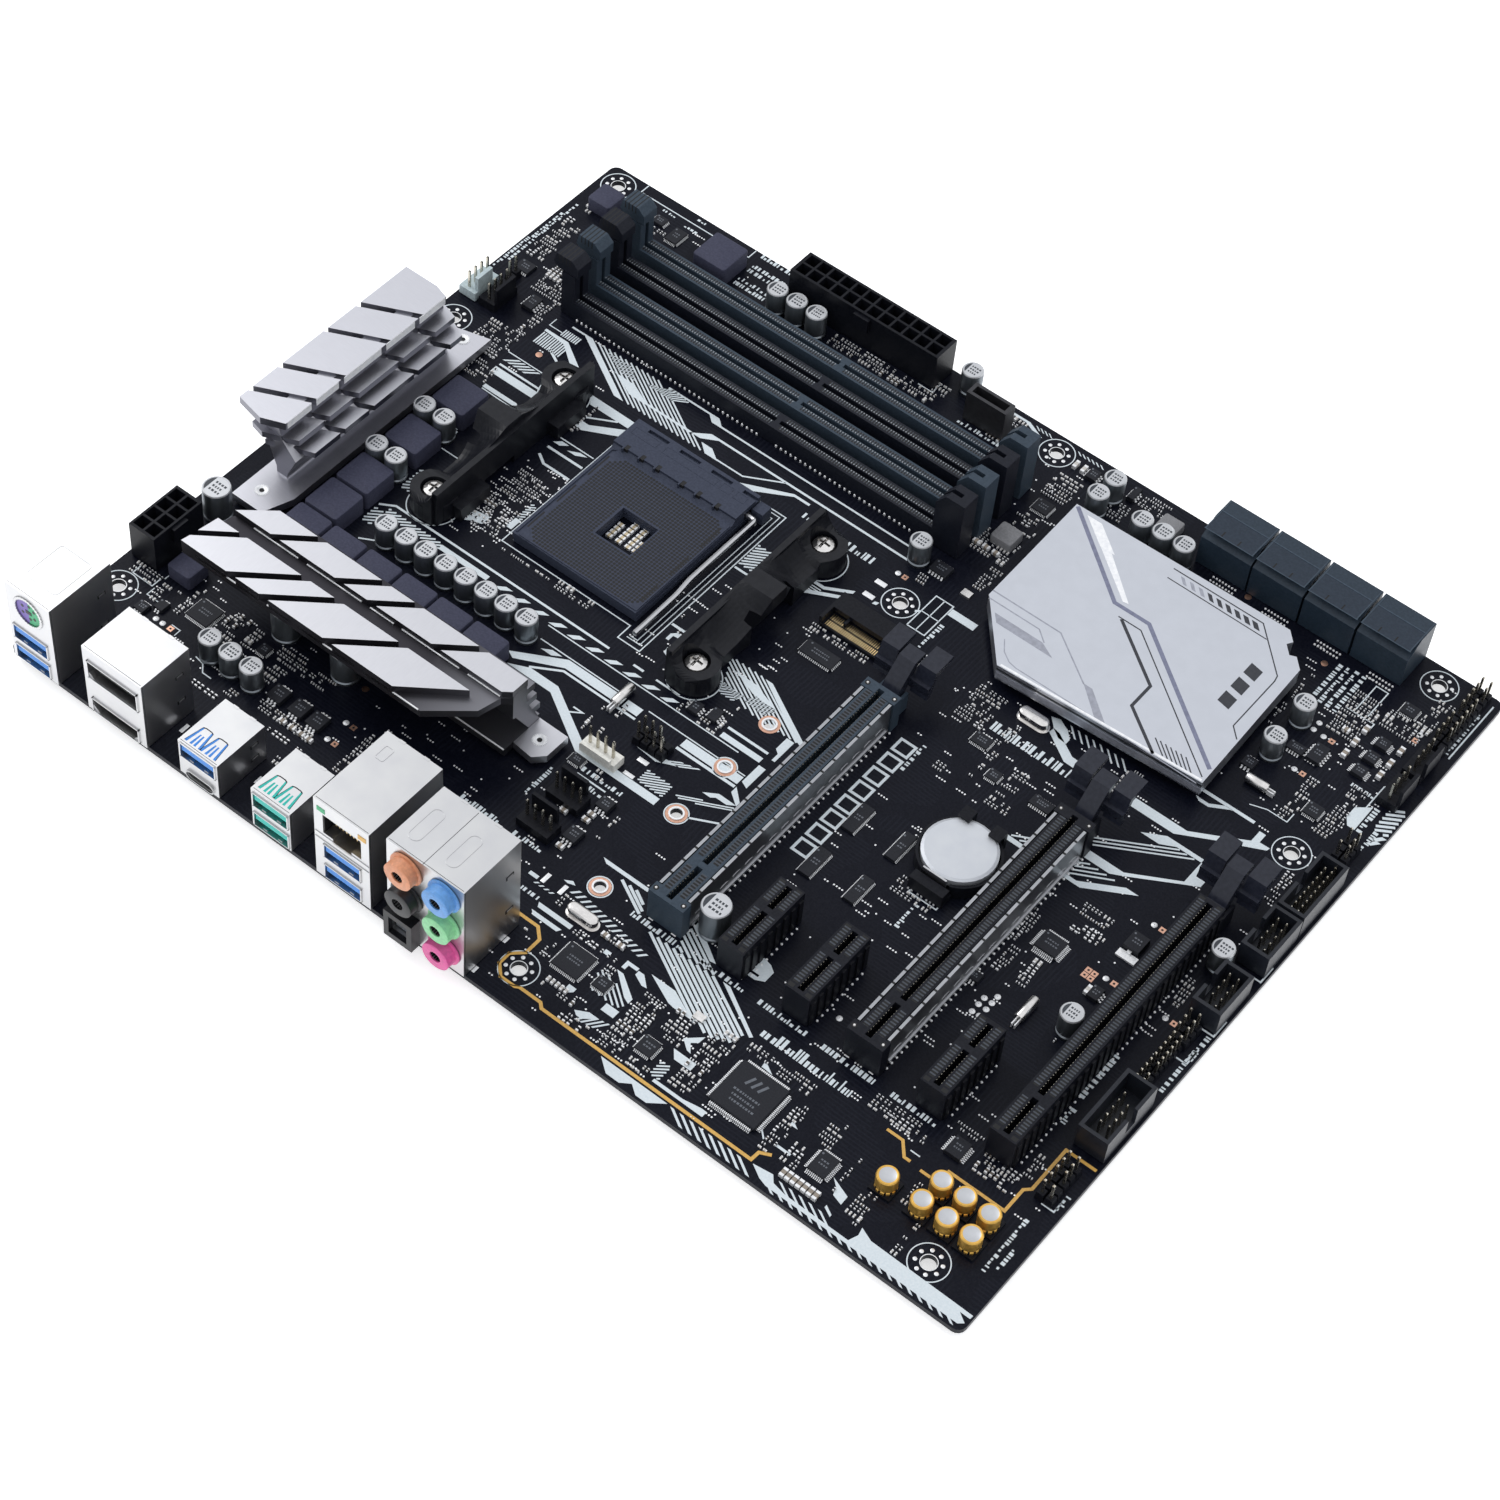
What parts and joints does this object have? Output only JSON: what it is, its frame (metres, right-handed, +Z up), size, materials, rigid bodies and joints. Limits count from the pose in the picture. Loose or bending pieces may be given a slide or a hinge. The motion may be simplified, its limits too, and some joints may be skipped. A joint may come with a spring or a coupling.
{
  "type": "computer motherboard",
  "caption": "Full-size desktop computer board with processor socket, memory and expansion slots, heat sinks, storage and power connectors and a row of rear ports.",
  "frame": {"origin": "middle of the circuit board's underside", "axes": "+X along the long side from the processor end to the far end, -Y towards the rear ports, +Z up out of the component side"},
  "size_m": [0.3048, 0.248, 0.0388],
  "materials": {
    "board_black": "black solder mask on glass fibre",
    "bright_steel": "bright tinned steel",
    "dark_steel": "dark painted steel",
    "silver_aluminium": "brushed silver with dark edges",
    "plastic_black": "black moulded plastic",
    "plastic_slate": "grey-blue moulded plastic",
    "plastic_smoke": "dark smoky plastic",
    "plastic_white": "off-white plastic",
    "socket_plastic": "dark grey-blue socket plastic",
    "pad_grey": "soft grey heat pad",
    "chip_black": "moulded chip package"
  },
  "bodies": {
    "board": {"pcb": "board_black", "cpu_backplate": "dark_steel", "socket_base": "socket_plastic", "bracket_screw_1": "bright_steel", "bracket_screw_2": "bright_steel", "bracket_screw_3": "bright_steel", "bracket_screw_4": "bright_steel", "slot_shield_1": "bright_steel", "slot_shield_2": "bright_steel", "battery_contact": "bright_steel", "io_ps2_usb": "bright_steel", "io_display": "bright_steel", "io_usb_ac": "bright_steel", "io_usb_pair": "bright_steel", "io_lan_usb": "bright_steel", "front_usb_header": "bright_steel", "cooler_bracket_1": "plastic_black", "cooler_bracket_2": "plastic_black", "dimm_slot_1": "plastic_black", "dimm_slot_3": "plastic_black", "pcie_x16_slot_2": "plastic_black", "pcie_x16_slot_3": "plastic_black", "pcie_x1_slot_1": "plastic_black", "pcie_x1_slot_2": "plastic_black", "pcie_x1_slot_3": "plastic_black", "battery_holder": "plastic_black", "atx_power_socket": "plastic_black", "cpu_power_socket": "plastic_black", "usb3_header": "plastic_black", "usb2_header_1": "plastic_black", "usb2_header_2": "plastic_black", "com_header": "plastic_black", "m2_connector": "plastic_black", "io_audio": "plastic_black", "dimm_slot_2": "plastic_slate", "dimm_slot_4": "plastic_slate", "pcie_x16_slot_1": "plastic_slate", "sata_block_1": "plastic_slate", "sata_block_2": "plastic_slate", "sata_block_3": "plastic_slate", "sata_block_4": "plastic_slate", "cpu_fan_header": "plastic_white", "vrm_heatsink_side": "silver_aluminium", "vrm_heatsink_rear": "silver_aluminium", "chipset_heatsink": "silver_aluminium", "chipset_chip": "chip_black", "super_io_chip": "chip_black", "vrm_pad_side": "pad_grey", "vrm_pad_rear": "pad_grey"},
    "coin_cell_body": {"coin_cell": "bright_steel"},
    "dimm_latch_1_body": {"dimm_latch_1": "plastic_black"},
    "dimm_latch_2_body": {"dimm_latch_2": "plastic_slate"},
    "dimm_latch_3_body": {"dimm_latch_3": "plastic_black"},
    "dimm_latch_4_body": {"dimm_latch_4": "plastic_slate"},
    "pcie_x16_clip_1_body": {"pcie_x16_clip_1": "plastic_smoke"},
    "pcie_x16_clip_2_body": {"pcie_x16_clip_2": "plastic_smoke"},
    "pcie_x16_clip_3_body": {"pcie_x16_clip_3": "plastic_smoke"},
    "socket_cover_body": {"socket_cover": "socket_plastic"},
    "socket_lever_body": {"socket_lever": "bright_steel"},
    "spdif_shutter_body": {"spdif_shutter": "plastic_black"}
  },
  "joints": [
    {"name": "socket_lever_lift", "type": "hinge", "parent": "board", "child": "socket_lever_body", "pos_m": [-0.07, 0.0381, 0.0046], "axis": [-1, 0, 0], "range_deg": [0, 90]},
    {"name": "socket_cover_slide", "type": "slide", "parent": "board", "child": "socket_cover_body", "axis": [0, -1, 0], "range_m": [0, 0.0012]},
    {"name": "dimm_latch_1_tilt", "type": "hinge", "parent": "board", "child": "dimm_latch_1_body", "pos_m": [-0.124, 0.0683, 0.0046], "axis": [0, -1, 0], "range_deg": [0, 25]},
    {"name": "dimm_latch_2_tilt", "type": "hinge", "parent": "board", "child": "dimm_latch_2_body", "pos_m": [-0.124, 0.0779, 0.0046], "axis": [0, -1, 0], "range_deg": [0, 25]},
    {"name": "dimm_latch_3_tilt", "type": "hinge", "parent": "board", "child": "dimm_latch_3_body", "pos_m": [-0.124, 0.0875, 0.0046], "axis": [0, -1, 0], "range_deg": [0, 25]},
    {"name": "dimm_latch_4_tilt", "type": "hinge", "parent": "board", "child": "dimm_latch_4_body", "pos_m": [-0.124, 0.0971, 0.0046], "axis": [0, -1, 0], "range_deg": [0, 25]},
    {"name": "pcie_x16_clip_1_press", "type": "hinge", "parent": "board", "child": "pcie_x16_clip_1_body", "pos_m": [0.0303, 0.013, 0.0045], "axis": [-1, 0, 0], "range_deg": [0, 20]},
    {"name": "pcie_x16_clip_2_press", "type": "hinge", "parent": "board", "child": "pcie_x16_clip_2_body", "pos_m": [0.09126, 0.013, 0.0045], "axis": [-1, 0, 0], "range_deg": [0, 20]},
    {"name": "pcie_x16_clip_3_press", "type": "hinge", "parent": "board", "child": "pcie_x16_clip_3_body", "pos_m": [0.1319, 0.013, 0.0045], "axis": [-1, 0, 0], "range_deg": [0, 20]},
    {"name": "coin_cell_tilt", "type": "hinge", "parent": "board", "child": "coin_cell_body", "pos_m": [0.0735, -0.008, 0.00775], "axis": [-1, 0, 0], "range_deg": [0, 18]},
    {"name": "spdif_shutter_swing", "type": "hinge", "parent": "board", "child": "spdif_shutter_body", "pos_m": [-0.0153, -0.12292, 0.0099], "axis": [1, 0, 0], "range_deg": [0, 80], "stiffness_Nm_per_rad": 0.00004}
  ],
  "couplings": [
    {"joint": "socket_cover_slide", "follows": "socket_lever_lift", "m_per_rad": 0.00076}
  ]
}
